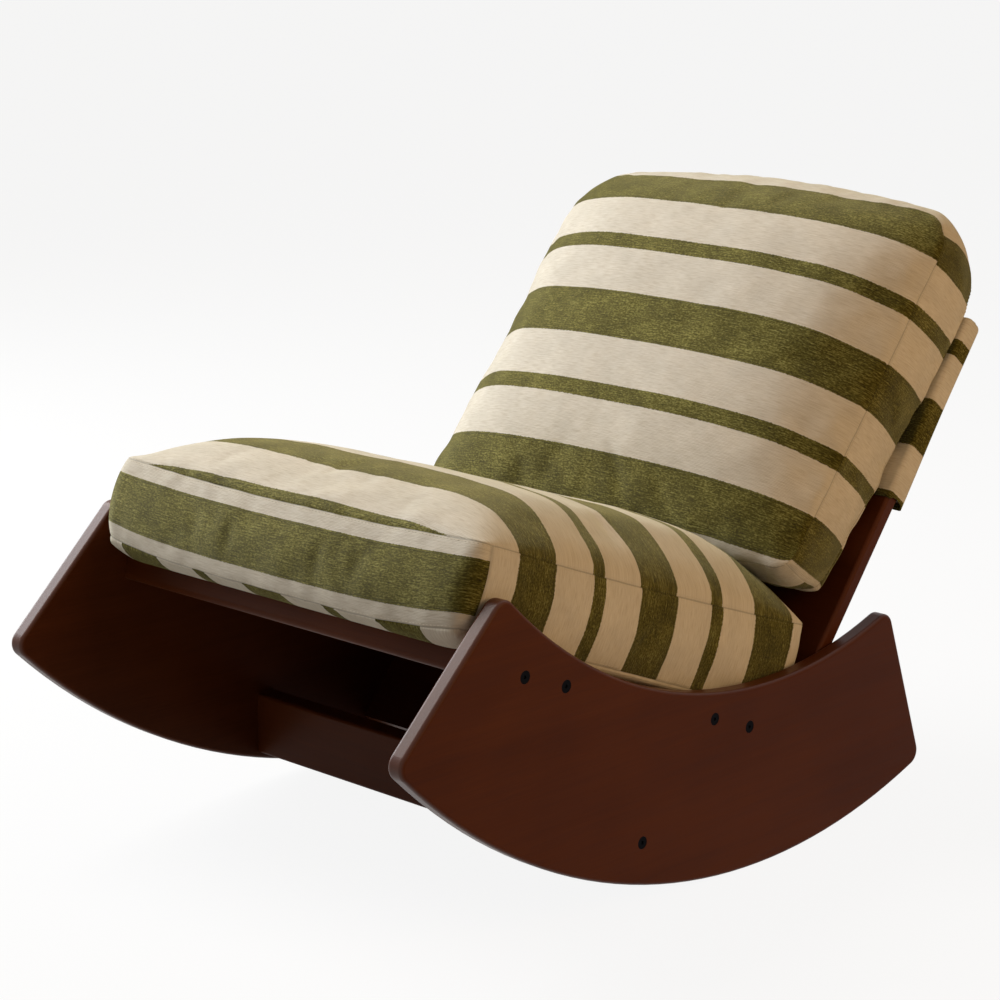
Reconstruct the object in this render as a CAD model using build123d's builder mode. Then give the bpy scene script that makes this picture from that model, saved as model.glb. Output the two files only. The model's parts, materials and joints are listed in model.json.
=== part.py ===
"""Rocking lounge chair: crescent side panels, a slatted seat, a reclined back panel and loose cushions.

Millimetres. +Z is up, the sitter faces -Y, and the origin is the middle of the line where the rockers meet
the floor. Angles below are those of the drawing, before the chair tips to its rest.
"""
import os
from math import cos, pi, radians, sin, sqrt, tan

from build123d import *

# Whole chair
OVERALL_WIDTH = 660
REST_TIP = 0.8  # degrees that the drawn chair tips forwards until its weight stands over the floor line

# Side panels: ring sectors about the rocking centre
ROCKER_RADIUS = 880
PANEL_BAND = 225
PANEL_THICKNESS = 22
FRONT_SWEEP = 46  # degrees ahead of the floor line
REAR_SWEEP = 20  # degrees behind it
PANEL_CORNER_RADIUS = 18
PANEL_EDGE_RADIUS = 5

# Seat line: it runs through the four seat bolts of a side, down towards the back
FRONT_BOLT_SWEEP = 38.6  # degrees ahead of the floor line
FRONT_BOLT_INSET = 52  # below the panel's upper edge
SEAT_PITCH = 21
BOLT_PAIR_SPACING = 70
REAR_PAIR_DISTANCE = 345  # from the front pair's first bolt to the rear pair's first
BACK_DISTANCE = 515  # from the front bolt to the back panel's front face, along the seat line

# Seat frame
FRAME_THICKNESS = 30
FRONT_RAIL_OVERHANG = 27  # ahead of the front bolt
FRONT_RAIL_DEPTH = 70
FRONT_RAIL_EDGE_RADIUS = 8
SIDE_RAIL_WIDTH = 50
SLAT_COUNT = 6
SLAT_WIDTH = 50
SLAT_THICKNESS = 10
SLAT_EDGE_RADIUS = 2
SLAT_LEDGE = 25  # width of the rebate that a slat's end lies in
SLAT_END_GAP = 1
SLAT_ROW_MARGIN = 12

# Back
BACK_RECLINE = 38.5  # degrees from upright
BACK_PANEL_SIDE_GAP = 2  # to each side panel
BACK_PANEL_THICKNESS = 22
BACK_PANEL_RISE = 566  # above the seat line, along the panel
BACK_PANEL_DROP = 140  # below it
BACK_PANEL_CORNER_RADIUS = 14
BACK_PANEL_EDGE_RADIUS = 5
SUPPORT_BOARD_THICKNESS = 30

# Lower stretcher
STRETCHER_SWEEP = 17.2  # degrees ahead of the floor line, to the middle of the board
STRETCHER_INSET = 50  # above the panel's lower edge
STRETCHER_HEIGHT = 80
STRETCHER_THICKNESS = 30
STRETCHER_EDGE_RADIUS = 4

# Bolts and threaded inserts
BOLT_DIAMETER = 6
BOLT_LENGTH = 45  # under the head
BOLT_HEAD_DIAMETER = 15
BOLT_HEAD_HEIGHT = 2.6
BOLT_HEAD_RECESS = 2.8
SOCKET_WIDTH = 4
SOCKET_DEPTH = 1.8
INSERT_DIAMETER = 10
INSERT_LENGTH = 15
INSERT_CHAMFER = 0.8
BACK_BOLT_DROPS = (42, 108)  # below the seat line
BACK_BOLT_SPACING = 220

# Dowels and screws
DOWEL_DIAMETER = 8
DOWEL_CHAMFER = 1
FRAME_DOWEL_LENGTH = 40
FRAME_DOWEL_INSETS = (10, 26)  # from a side rail's inner face
REAR_DOWEL_DROP = 8  # below the seat line, where the dowel leaves the support board
PANEL_DOWEL_LENGTH = 36
PANEL_DOWEL_DEPTH = 12  # how far a dowel reaches into a side panel
STRETCHER_DOWEL_SPACING = 50
SUPPORT_DOWEL_DROPS = (45, 105)  # below the seat line
SCREW_DIAMETER = 4
SCREW_HEAD_DIAMETER = 8
SCREW_LENGTH = 24
SCREW_POINT = 4
SCREW_HEAD_ANGLE = 90  # of the cone under the head
HOLE_CLEARANCE = 0.1  # all round a pin in its hole
HOLE_RUN_OUT = 2  # a blind hole is this much deeper than its pin

# Cushions
CUSHION_SIDE_GAP = 8  # from the sewn edge to each side panel
CUSHION_BOXING = 112  # height of the sewn side band
CUSHION_BULGE = 5  # how far that band swells out
CUSHION_DRAW = 4  # how far the sides pull in between the corners
CUSHION_END_ROUND = 12  # how far the upper seam drops at an end
CUSHION_SHOULDER = 0.66  # share of the half width where the crown turns down
CUSHION_SHOULDER_RISE = 0.72  # share of the crown that is left there
CUSHION_CORNER_RADIUS = 35
CUSHION_SPANS = 8  # between the sections drawn along a cushion, closer together at its ends
CROWN_FULLNESS = 5  # power of the swell: a higher one keeps the crown up nearer to the ends
SEAT_CROWN = 78
SEAT_CUSHION_LENGTH = 600
SEAT_CUSHION_BACK_GAP = 2  # to the back panel, along the seat line
BACK_CROWN = 80
BACK_CUSHION_LENGTH = 557
BACK_CUSHION_START = 158  # above the seat line, along the back panel
BACK_CUSHION_TOP_RADIUS = 70
BACK_CUSHION_TOP_ROUND = 50  # how far the upper seam drops at the top end
COVER_THICKNESS = 2.5
CUSHION_CLEARANCE = 0.3
SLEEVE_LENGTH = 260
SLEEVE_THICKNESS = 2.5
SLEEVE_SLACK = 0.4

# Sizes that follow
SIDES = (1, -1)
OUTER_HALF = OVERALL_WIDTH / 2
INNER_HALF = OUTER_HALF - PANEL_THICKNESS
INNER_RADIUS = ROCKER_RADIUS - PANEL_BAND
BACK_PANEL_WIDTH = 2 * (INNER_HALF - BACK_PANEL_SIDE_GAP)
CUSHION_WIDTH = 2 * (INNER_HALF - CUSHION_SIDE_GAP)
HALF_FRAME = FRAME_THICKNESS / 2
JOINT_TURN = radians(BACK_RECLINE - SEAT_PITCH)  # how far the back leans from square to the seat
FRONT_RAIL_BACK = FRONT_RAIL_DEPTH - FRONT_RAIL_OVERHANG
RAIL_INNER_HALF = INNER_HALF - SIDE_RAIL_WIDTH
BOLT_HOLE_RADIUS = BOLT_DIAMETER / 2 + HOLE_CLEARANCE
HEAD_HOLE_RADIUS = BOLT_HEAD_DIAMETER / 2 + HOLE_CLEARANCE
INSERT_HOLE_RADIUS = INSERT_DIAMETER / 2 + HOLE_CLEARANCE
DOWEL_HOLE_RADIUS = DOWEL_DIAMETER / 2 + HOLE_CLEARANCE
SCREW_HOLE_RADIUS = SCREW_DIAMETER / 2 + HOLE_CLEARANCE
SCREW_SINK_RADIUS = SCREW_HEAD_DIAMETER / 2 + HOLE_CLEARANCE
SLEEVE_FRONT = SLEEVE_SLACK + SLEEVE_THICKNESS


def polar(radius, angle):
    """A point about the rocking centre: angle zero is straight down, and positive is to the rear."""
    return (radius * sin(radians(angle)), -radius * cos(radians(angle)))


def side_plane(origin, angle):
    """The chair's middle plane at a point: local x climbs rearwards at the drawn angle, local z is +X."""
    turn = radians(angle + REST_TIP)
    return Plane(origin, x_dir=(0, cos(turn), sin(turn)), z_dir=(1, 0, 0))


# Local directions: along the drawing's depth, up its height, across the chair
ROCKING_CENTRE = side_plane((0, 0, ROCKER_RADIUS), 0)
STRETCHER = side_plane(
    ROCKING_CENTRE.from_local_coords(polar(ROCKER_RADIUS - STRETCHER_INSET, -STRETCHER_SWEEP)), 0
)
# Local directions: along the seat to the rear, up and square to it, across the chair
SEAT = side_plane(
    ROCKING_CENTRE.from_local_coords(polar(INNER_RADIUS + FRONT_BOLT_INSET, -FRONT_BOLT_SWEEP)), -SEAT_PITCH
)
# Local directions: up the back panel, forwards from its front face, across the chair
BACK = side_plane(SEAT.from_local_coords((BACK_DISTANCE, 0)), 90 - BACK_RECLINE)
# The back panel's front face seen square on: across the chair, up the panel, forwards
BACK_FACE = Plane(BACK.origin, x_dir=BACK.z_dir, z_dir=BACK.y_dir)


def rise_at(height, forward):
    """How far up the back panel a height over the seat line lies, at a distance ahead of its front face."""
    return (height - forward * sin(JOINT_TURN)) / cos(JOINT_TURN)


def rail_end(height):
    """Where the side rails meet the support board, along the seat, at a height over the seat line."""
    return BACK_DISTANCE - SUPPORT_BOARD_THICKNESS / cos(JOINT_TURN) + height * tan(JOINT_TURN)


def spot(plane, point, axis):
    """A place in a plane's own coordinates whose z axis points along the given direction."""
    return Plane(plane.from_local_coords(point), z_dir=axis).location


def across_spots(plane, points, across, sides=SIDES):
    """Places on a plane's points, moved out to a distance from the middle and facing outwards."""
    return [spot(plane, (x, y, side * across), (side, 0, 0)) for side in sides for x, y in points]


def export(part, name):
    """Labels a finished piece and writes it to its own file."""
    part.label = name
    export_step(part, f"parts/{name}.step")


# Places of the fasteners
SEAT_BOLTS = [
    (start + step, 0) for start in (0, REAR_PAIR_DISTANCE) for step in (0, BOLT_PAIR_SPACING)
]
STRETCHER_BOLTS = [(0, 0)]
STRETCHER_DOWELS = [(0, side * STRETCHER_DOWEL_SPACING / 2) for side in SIDES]
SUPPORT_DOWELS = [(-drop, SUPPORT_BOARD_THICKNESS / 2) for drop in SUPPORT_DOWEL_DROPS]
FRONT_RAIL_DOWELS = [
    spot(SEAT, (FRONT_RAIL_BACK, 0, side * (RAIL_INNER_HALF + inset)), SEAT.x_dir)
    for side in SIDES
    for inset in FRAME_DOWEL_INSETS
]
REAR_DOWEL_RISE = rise_at(-REAR_DOWEL_DROP, SUPPORT_BOARD_THICKNESS)
REAR_RAIL_DOWELS = [
    spot(
        BACK,
        (REAR_DOWEL_RISE, SUPPORT_BOARD_THICKNESS, side * (RAIL_INNER_HALF + inset)),
        BACK.y_dir,
    )
    for side in SIDES
    for inset in FRAME_DOWEL_INSETS
]
BACK_BOLTS = [
    (column * BACK_BOLT_SPACING, -drop) for drop in BACK_BOLT_DROPS for column in (-1, 0, 1)
]
FIRST_SLAT = FRONT_RAIL_BACK + SLAT_ROW_MARGIN + SLAT_WIDTH / 2
LAST_SLAT = rail_end(HALF_FRAME - SLAT_THICKNESS) - SLAT_ROW_MARGIN - SLAT_WIDTH / 2
SLAT_STEP = (LAST_SLAT - FIRST_SLAT) / (SLAT_COUNT - 1)
SLAT_PLACES = [FIRST_SLAT + index * SLAT_STEP for index in range(SLAT_COUNT)]
SCREW_ACROSS = RAIL_INNER_HALF + SLAT_LEDGE / 2


def screw_spots(place):
    """The two screws of the slat at a place along the seat, facing up."""
    return [spot(SEAT, (place, HALF_FRAME, side * SCREW_ACROSS), SEAT.y_dir) for side in SIDES]


def back_bolt_spots(forward):
    """The back panel's bolt grid, at a distance ahead of its front face, facing rearwards."""
    return [spot(BACK_FACE, (x, y, forward), -BACK_FACE.z_dir) for x, y in BACK_BOLTS]


# Hole depths
BOLT_REACH = BOLT_LENGTH + BOLT_HEAD_RECESS - PANEL_THICKNESS + HOLE_RUN_OUT
BACK_BOLT_REACH = BOLT_LENGTH + BOLT_HEAD_RECESS - BACK_PANEL_THICKNESS + HOLE_RUN_OUT
FRAME_DOWEL_HOLE = FRAME_DOWEL_LENGTH / 2 + HOLE_RUN_OUT
PANEL_DOWEL_HOLE = PANEL_DOWEL_DEPTH + HOLE_RUN_OUT
BOARD_DOWEL_HOLE = PANEL_DOWEL_LENGTH - PANEL_DOWEL_DEPTH + HOLE_RUN_OUT

os.makedirs("parts", exist_ok=True)

# Side panels
MIDDLE_SWEEP = (REAR_SWEEP - FRONT_SWEEP) / 2
with BuildPart() as side_panel_right:
    with BuildSketch(ROCKING_CENTRE.offset(INNER_HALF)) as panel_outline:
        with BuildLine():
            for radius in (ROCKER_RADIUS, INNER_RADIUS):
                ThreePointArc(
                    polar(radius, -FRONT_SWEEP), polar(radius, MIDDLE_SWEEP), polar(radius, REAR_SWEEP)
                )
            for angle in (-FRONT_SWEEP, REAR_SWEEP):
                Line(polar(INNER_RADIUS, angle), polar(ROCKER_RADIUS, angle))
        make_face()
        fillet(panel_outline.vertices(), PANEL_CORNER_RADIUS)
    extrude(amount=PANEL_THICKNESS)
    fillet(side_panel_right.faces().filter_by(Axis.X).edges(), PANEL_EDGE_RADIUS)
    with Locations(
        *across_spots(SEAT, SEAT_BOLTS, OUTER_HALF, sides=(1,)),
        *across_spots(STRETCHER, STRETCHER_BOLTS, OUTER_HALF, sides=(1,)),
    ):
        CounterBoreHole(BOLT_HOLE_RADIUS, HEAD_HOLE_RADIUS, BOLT_HEAD_RECESS, PANEL_THICKNESS)
    with Locations(
        *across_spots(STRETCHER, STRETCHER_DOWELS, INNER_HALF, sides=(1,)),
        *across_spots(BACK, SUPPORT_DOWELS, INNER_HALF, sides=(1,)),
    ):
        Cylinder(DOWEL_HOLE_RADIUS, 2 * PANEL_DOWEL_HOLE, mode=Mode.SUBTRACT)
export(side_panel_right.part, "side_panel_right")

with BuildPart() as side_panel_left:
    mirror(side_panel_right.part, about=Plane.YZ)
export(side_panel_left.part, "side_panel_left")

# Front seat rail: a flat board from panel to panel, softly rounded where it shows
with BuildPart() as front_seat_rail:
    with BuildSketch(SEAT) as rail_section:
        with Locations((-FRONT_RAIL_OVERHANG, 0)):
            Rectangle(FRONT_RAIL_DEPTH, FRAME_THICKNESS, align=(Align.MIN, Align.CENTER))
        fillet(rail_section.vertices().group_by(Axis(SEAT.origin, SEAT.x_dir))[0], FRONT_RAIL_EDGE_RADIUS)
    extrude(amount=INNER_HALF, both=True)
    with Locations(*across_spots(SEAT, SEAT_BOLTS[:1], INNER_HALF)):
        CounterBoreHole(BOLT_HOLE_RADIUS, INSERT_HOLE_RADIUS, INSERT_LENGTH, BOLT_REACH)
    with Locations(*FRONT_RAIL_DOWELS):
        Cylinder(DOWEL_HOLE_RADIUS, 2 * FRAME_DOWEL_HOLE, mode=Mode.SUBTRACT)
export(front_seat_rail.part, "front_seat_rail")

# Side seat rails: bolted to the panels, rebated for the slats, cut to the back's slope at the rear
with BuildPart() as side_seat_rail_right:
    with BuildSketch(SEAT.offset(RAIL_INNER_HALF)):
        with BuildLine():
            Polyline(
                (FRONT_RAIL_BACK, -HALF_FRAME),
                (rail_end(-HALF_FRAME), -HALF_FRAME),
                (rail_end(HALF_FRAME), HALF_FRAME),
                (FRONT_RAIL_BACK, HALF_FRAME),
                close=True,
            )
        make_face()
    extrude(amount=SIDE_RAIL_WIDTH)
    with BuildSketch(SEAT.offset(RAIL_INNER_HALF)):
        with Locations((FRONT_RAIL_BACK, HALF_FRAME)):
            Rectangle(BACK_DISTANCE, SLAT_THICKNESS, align=(Align.MIN, Align.MAX))
    extrude(amount=SLAT_LEDGE, mode=Mode.SUBTRACT)
    with Locations(*across_spots(SEAT, SEAT_BOLTS[1:], INNER_HALF, sides=(1,))):
        CounterBoreHole(BOLT_HOLE_RADIUS, INSERT_HOLE_RADIUS, INSERT_LENGTH, BOLT_REACH)
    with Locations(*FRONT_RAIL_DOWELS, *REAR_RAIL_DOWELS):
        Cylinder(DOWEL_HOLE_RADIUS, 2 * FRAME_DOWEL_HOLE, mode=Mode.SUBTRACT)
    for place in SLAT_PLACES:
        with Locations(*screw_spots(place)):
            Hole(SCREW_HOLE_RADIUS, SCREW_LENGTH + HOLE_RUN_OUT)
export(side_seat_rail_right.part, "side_seat_rail_right")

with BuildPart() as side_seat_rail_left:
    mirror(side_seat_rail_right.part, about=Plane.YZ)
export(side_seat_rail_left.part, "side_seat_rail_left")

# Seat slats, each in its own file
for number, place in enumerate(SLAT_PLACES, start=1):
    with BuildPart() as slat:
        with BuildSketch(SEAT) as slat_section:
            with Locations((place, HALF_FRAME)):
                Rectangle(SLAT_WIDTH, SLAT_THICKNESS, align=(Align.CENTER, Align.MAX))
            fillet(slat_section.vertices(), SLAT_EDGE_RADIUS)
        extrude(amount=RAIL_INNER_HALF + SLAT_LEDGE - SLAT_END_GAP, both=True)
        with Locations(*screw_spots(place)):
            CounterSinkHole(SCREW_HOLE_RADIUS, SCREW_SINK_RADIUS, SLAT_THICKNESS, SCREW_HEAD_ANGLE)
    export(slat.part, f"seat_slat_{number}")

# Back support board: carries the back panel and closes the seat frame
with BuildPart() as back_support_board:
    with BuildSketch(BACK):
        with BuildLine():
            Polyline(
                (-BACK_PANEL_DROP, 0),
                (-BACK_PANEL_DROP, SUPPORT_BOARD_THICKNESS),
                (rise_at(HALF_FRAME, SUPPORT_BOARD_THICKNESS), SUPPORT_BOARD_THICKNESS),
                (rise_at(HALF_FRAME, 0), 0),
                close=True,
            )
        make_face()
    extrude(amount=INNER_HALF, both=True)
    with Locations(*REAR_RAIL_DOWELS):
        Cylinder(DOWEL_HOLE_RADIUS, 2 * FRAME_DOWEL_HOLE, mode=Mode.SUBTRACT)
    with Locations(*across_spots(BACK, SUPPORT_DOWELS, INNER_HALF)):
        Cylinder(DOWEL_HOLE_RADIUS, 2 * BOARD_DOWEL_HOLE, mode=Mode.SUBTRACT)
    with Locations(*back_bolt_spots(0)):
        CounterBoreHole(BOLT_HOLE_RADIUS, INSERT_HOLE_RADIUS, INSERT_LENGTH, BACK_BOLT_REACH)
export(back_support_board.part, "back_support_board")

# Back panel
with BuildPart() as back_panel:
    with BuildSketch(BACK_FACE) as back_outline:
        with Locations((0, -BACK_PANEL_DROP)):
            Rectangle(
                BACK_PANEL_WIDTH, BACK_PANEL_RISE + BACK_PANEL_DROP, align=(Align.CENTER, Align.MIN)
            )
        fillet(back_outline.vertices(), BACK_PANEL_CORNER_RADIUS)
    extrude(amount=-BACK_PANEL_THICKNESS)
    flat_faces = back_panel.faces().filter_by(Axis(BACK_FACE.origin, BACK_FACE.z_dir))
    fillet(flat_faces.edges(), BACK_PANEL_EDGE_RADIUS)
    with Locations(*back_bolt_spots(-BACK_PANEL_THICKNESS)):
        CounterBoreHole(BOLT_HOLE_RADIUS, HEAD_HOLE_RADIUS, BOLT_HEAD_RECESS, BACK_PANEL_THICKNESS)
export(back_panel.part, "back_panel")

# Lower stretcher
with BuildPart() as lower_stretcher:
    with BuildSketch(STRETCHER) as stretcher_section:
        Rectangle(STRETCHER_THICKNESS, STRETCHER_HEIGHT)
        fillet(stretcher_section.vertices(), STRETCHER_EDGE_RADIUS)
    extrude(amount=INNER_HALF, both=True)
    with Locations(*across_spots(STRETCHER, STRETCHER_BOLTS, INNER_HALF)):
        CounterBoreHole(BOLT_HOLE_RADIUS, INSERT_HOLE_RADIUS, INSERT_LENGTH, BOLT_REACH)
    with Locations(*across_spots(STRETCHER, STRETCHER_DOWELS, INNER_HALF)):
        Cylinder(DOWEL_HOLE_RADIUS, 2 * BOARD_DOWEL_HOLE, mode=Mode.SUBTRACT)
export(lower_stretcher.part, "lower_stretcher")


# Single fasteners: z is the way out of the hole, and zero is the surface that they go into
def make_bolt():
    """A flat headed socket bolt, its head just under the surface."""
    with BuildPart() as bolt:
        with Locations((0, 0, -BOLT_HEAD_RECESS)):
            Cylinder(
                BOLT_HEAD_DIAMETER / 2, BOLT_HEAD_HEIGHT, align=(Align.CENTER, Align.CENTER, Align.MIN)
            )
            Cylinder(BOLT_DIAMETER / 2, BOLT_LENGTH, align=(Align.CENTER, Align.CENTER, Align.MAX))
        with BuildSketch(Plane.XY.offset(BOLT_HEAD_HEIGHT - BOLT_HEAD_RECESS)):
            RegularPolygon(SOCKET_WIDTH / 2, side_count=6, major_radius=False)
        extrude(amount=-SOCKET_DEPTH, mode=Mode.SUBTRACT)
    return bolt.part


def make_insert():
    """A plain sleeve that the bolt screws into."""
    with BuildPart() as insert:
        Cylinder(INSERT_DIAMETER / 2, INSERT_LENGTH, align=(Align.CENTER, Align.CENTER, Align.MAX))
        chamfer(insert.edges(), INSERT_CHAMFER)
        Hole(BOLT_HOLE_RADIUS)
    return insert.part


def make_dowel(length, outer_length):
    """A round peg that stands out of the surface by the outer length."""
    with BuildPart() as dowel:
        with Locations((0, 0, outer_length)):
            Cylinder(DOWEL_DIAMETER / 2, length, align=(Align.CENTER, Align.CENTER, Align.MAX))
        chamfer(dowel.edges().filter_by(GeomType.CIRCLE), DOWEL_CHAMFER)
    return dowel.part


def make_screw():
    """A countersunk wood screw."""
    sink = (SCREW_HEAD_DIAMETER - SCREW_DIAMETER) / 2 / tan(radians(SCREW_HEAD_ANGLE / 2))
    with BuildPart() as screw:
        with BuildSketch(Plane.XZ):
            with BuildLine():
                Polyline(
                    (0, 0),
                    (SCREW_HEAD_DIAMETER / 2, 0),
                    (SCREW_DIAMETER / 2, -sink),
                    (SCREW_DIAMETER / 2, SCREW_POINT - SCREW_LENGTH),
                    (0, -SCREW_LENGTH),
                    close=True,
                )
            make_face()
        revolve(axis=Axis.Z)
    return screw.part


def export_group(part, places, name):
    """Sets a copy of a fastener at each place and writes them as one group of separate solids."""
    with BuildPart() as group:
        with Locations(*places):
            add(part)
    export(group.part, name)


bolt = make_bolt()
insert = make_insert()
frame_dowel = make_dowel(FRAME_DOWEL_LENGTH, FRAME_DOWEL_LENGTH / 2)
panel_dowel = make_dowel(PANEL_DOWEL_LENGTH, PANEL_DOWEL_DEPTH)
export_group(bolt, across_spots(SEAT, SEAT_BOLTS, OUTER_HALF), "seat_bolts")
export_group(bolt, across_spots(STRETCHER, STRETCHER_BOLTS, OUTER_HALF), "stretcher_bolts")
export_group(bolt, back_bolt_spots(-BACK_PANEL_THICKNESS), "back_panel_bolts")
export_group(insert, across_spots(SEAT, SEAT_BOLTS, INNER_HALF), "seat_bolt_inserts")
export_group(insert, across_spots(STRETCHER, STRETCHER_BOLTS, INNER_HALF), "stretcher_bolt_inserts")
export_group(insert, back_bolt_spots(0), "back_panel_inserts")
export_group(frame_dowel, FRONT_RAIL_DOWELS, "front_rail_dowels")
export_group(frame_dowel, REAR_RAIL_DOWELS, "rear_rail_dowels")
export_group(panel_dowel, across_spots(STRETCHER, STRETCHER_DOWELS, INNER_HALF), "stretcher_dowels")
export_group(panel_dowel, across_spots(BACK, SUPPORT_DOWELS, INNER_HALF), "support_board_dowels")
export_group(make_screw(), [place for row in SLAT_PLACES for place in screw_spots(row)], "slat_screws")


# Cushions: a boxed cover with a high crown, drawn in between its corners, sewn to a flat panel round foam
def cushion_stations(length, crown, start_end, far_end):
    """Sections along a cushion: place, half width, height of the upper seam and height of the crown.

    An end is given as its corner radius and how far the upper seam drops there.
    """
    for step in range(CUSHION_SPANS + 1):
        place = length * (1 - cos(pi * step / CUSHION_SPANS)) / 2
        gap, (corner, drop) = min((place, start_end), (length - place, far_end))
        open_share = 1 - min(gap / corner, 1)
        rounding = 1 - sqrt(1 - open_share**2)
        swell = 1 - abs(2 * place / length - 1) ** CROWN_FULLNESS
        half_width = CUSHION_WIDTH / 2 - corner * rounding - CUSHION_DRAW * swell
        seam = CUSHION_BOXING - drop * rounding
        yield place, half_width, seam, crown * swell


def make_pad(plane, start, base, sections, inset, floor):
    """A closed pad along a plane's local x, drawn in by the inset, that starts at a floor over the base."""
    length = sections[-1][0]
    with BuildPart() as pad:
        for place, half_width, seam, crown in sections:
            along = start + min(max(place, inset), length - inset)
            half = half_width - inset
            high = seam - inset
            peak = crown + CUSHION_BULGE
            shoulder_x = CUSHION_SHOULDER * half
            shoulder_y = high + CUSHION_SHOULDER_RISE * peak
            origin = plane.from_local_coords((along, base, 0))
            with BuildSketch(Plane(origin, x_dir=plane.z_dir, z_dir=-plane.x_dir)):
                with BuildLine():
                    Line((-half, floor), (half, floor))
                    for side in SIDES:
                        belly = (side * (half + CUSHION_BULGE), (floor + high) / 2)
                        ThreePointArc((side * half, floor), belly, (side * half, high))
                    top = ThreePointArc((-shoulder_x, shoulder_y), (0, high + peak), (shoulder_x, shoulder_y))
                    TangentArc(top @ 1, (half, high), tangent=top % 1)
                    TangentArc(top @ 0, (-half, high), tangent=-(top % 0))
                make_face()
        loft()
    return pad.part


def export_cushion(name, flat_name, plane, start, base, sections):
    """Writes a cushion's crowned cover, the flat panel that closes it and the foam core inside them."""
    core_inset = COVER_THICKNESS + CUSHION_CLEARANCE
    outside = make_pad(plane, start, base, sections, 0, 0)
    inside = make_pad(plane, start, base, sections, COVER_THICKNESS, -COVER_THICKNESS)
    core = make_pad(plane, start, base, sections, core_inset, core_inset)
    sewing_line = Plane(plane.from_local_coords((0, base + COVER_THICKNESS, 0)), z_dir=plane.y_dir)
    with BuildPart() as flat_panel:
        add(outside)
        split(bisect_by=sewing_line, keep=Keep.BOTTOM)
    with BuildPart() as cover:
        add(outside)
        split(bisect_by=sewing_line, keep=Keep.TOP)
        add(inside, mode=Mode.SUBTRACT)
    export(flat_panel.part, f"{name}_{flat_name}")
    export(cover.part, f"{name}_cover")
    export(core, f"{name}_foam_core")


CUSHION_END = (CUSHION_CORNER_RADIUS, CUSHION_END_ROUND)
BACK_CUSHION_TOP = (BACK_CUSHION_TOP_RADIUS, BACK_CUSHION_TOP_ROUND)
export_cushion(
    "seat_cushion",
    "base_panel",
    SEAT,
    BACK_DISTANCE - SEAT_CUSHION_BACK_GAP - SEAT_CUSHION_LENGTH,
    HALF_FRAME + CUSHION_CLEARANCE,
    list(cushion_stations(SEAT_CUSHION_LENGTH, SEAT_CROWN, CUSHION_END, CUSHION_END)),
)
export_cushion(
    "back_cushion",
    "rear_panel",
    BACK,
    BACK_CUSHION_START,
    SLEEVE_FRONT,
    list(cushion_stations(BACK_CUSHION_LENGTH, BACK_CROWN, CUSHION_END, BACK_CUSHION_TOP)),
)

# Back sleeve: a pocket sewn to the back cushion, drawn over the top of the back panel
with BuildPart() as back_sleeve:
    for growth, mode in ((SLEEVE_FRONT, Mode.ADD), (SLEEVE_SLACK, Mode.SUBTRACT)):
        rise = BACK_PANEL_RISE + growth
        length = SLEEVE_LENGTH + growth if mode == Mode.ADD else BACK_PANEL_RISE
        with BuildSketch(BACK_FACE.offset(growth)) as pocket:
            with Locations((0, rise)):
                Rectangle(BACK_PANEL_WIDTH + 2 * growth, length, align=(Align.CENTER, Align.MAX))
            top_corners = pocket.vertices().group_by(Axis(BACK_FACE.origin, BACK_FACE.y_dir))[-1]
            fillet(top_corners, BACK_PANEL_CORNER_RADIUS + growth)
        extrude(amount=-BACK_PANEL_THICKNESS - 2 * growth, mode=mode)
export(back_sleeve.part, "back_sleeve")
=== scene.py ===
"""Looks of a rocking lounge chair: lacquered walnut, black bolts and striped chenille cushions. Metres."""
import json
from math import cos, radians, sin

import bpy
import numpy as np
from mathutils import Matrix, Vector, noise


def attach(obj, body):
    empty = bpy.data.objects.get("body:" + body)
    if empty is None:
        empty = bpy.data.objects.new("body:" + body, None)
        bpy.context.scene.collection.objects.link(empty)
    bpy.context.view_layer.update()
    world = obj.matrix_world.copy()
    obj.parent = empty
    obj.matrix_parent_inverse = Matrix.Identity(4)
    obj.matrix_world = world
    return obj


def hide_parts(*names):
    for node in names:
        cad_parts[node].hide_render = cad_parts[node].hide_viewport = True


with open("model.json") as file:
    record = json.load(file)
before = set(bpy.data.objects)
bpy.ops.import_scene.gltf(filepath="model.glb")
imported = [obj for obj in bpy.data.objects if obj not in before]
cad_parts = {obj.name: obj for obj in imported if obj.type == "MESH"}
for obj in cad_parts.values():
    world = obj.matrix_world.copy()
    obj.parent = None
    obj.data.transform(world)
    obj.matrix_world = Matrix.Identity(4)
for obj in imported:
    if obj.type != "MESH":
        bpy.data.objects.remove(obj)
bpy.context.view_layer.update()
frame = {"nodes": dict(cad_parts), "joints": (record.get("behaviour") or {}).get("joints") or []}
scene = bpy.context.scene

# Camera, fitted to the photograph
PHOTO_SIZE = 1000  # pixels
CAMERA_AZIMUTH = 43.37
CAMERA_ELEVATION = 13.03
CAMERA_ROLL = 0.57
CAMERA_DISTANCE = 3.852
CAMERA_TARGET = Vector((-0.4014, 0.2993, 0.2746))
CAMERA_FOCAL = 2673.6  # pixels
SENSOR_WIDTH = 36  # millimetres

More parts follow.
